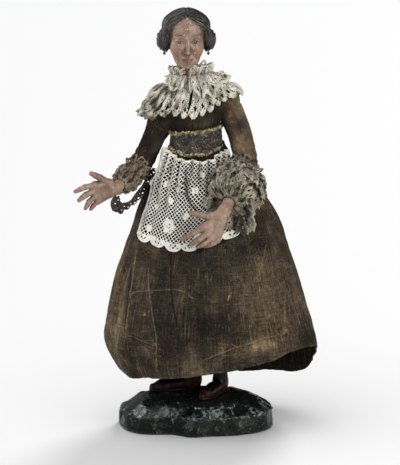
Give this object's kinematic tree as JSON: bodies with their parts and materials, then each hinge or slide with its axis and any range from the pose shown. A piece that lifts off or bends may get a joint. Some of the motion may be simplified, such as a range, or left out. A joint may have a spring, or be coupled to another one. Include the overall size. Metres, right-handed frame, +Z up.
{
  "type": "female figurine",
  "caption": "Standing dressed figurine of carved and painted wood in a cloth gown with lace collar, cuffs and apron, on a carved rocky base.",
  "frame": {"origin": "centre of the base's flat underside", "axes": "+Z up, -Y towards the front of the figure, +X towards the figure's left hand"},
  "size_m": [0.2008, 0.1438, 0.349],
  "materials": {
    "gown_cloth": "worn brown woollen cloth",
    "painted_carving": "old flesh paint and dark painted hair on carved wood",
    "cream_lace": "greyish cream bobbin lace",
    "aged_lace": "darkened old lace",
    "apron_net": "fine white net lace",
    "metal_braid": "dark silk woven with dull metal thread",
    "shoe_paint": "dark red-brown and black gloss paint",
    "base_paint": "glossy dark green-black paint over carved wood",
    "gilt": "dull gilt"
  },
  "bodies": {
    "root": {"base": "base_paint", "right_leg_with_shoe": "shoe_paint", "left_leg_with_shoe": "shoe_paint", "skirt": "gown_cloth", "bodice_with_sleeves": "gown_cloth", "belt": "metal_braid", "lace_apron": "apron_net", "head_with_neck": "painted_carving", "lace_collar": "cream_lace", "neck_frill": "cream_lace", "right_hand_and_forearm": "painted_carving", "left_hand_and_forearm": "painted_carving", "right_cuff": "aged_lace", "left_cuff": "aged_lace", "right_cuff_flounce": "aged_lace", "left_cuff_flounce": "aged_lace", "right_earring": "gilt", "left_earring": "gilt"}
  },
  "joints": []
}
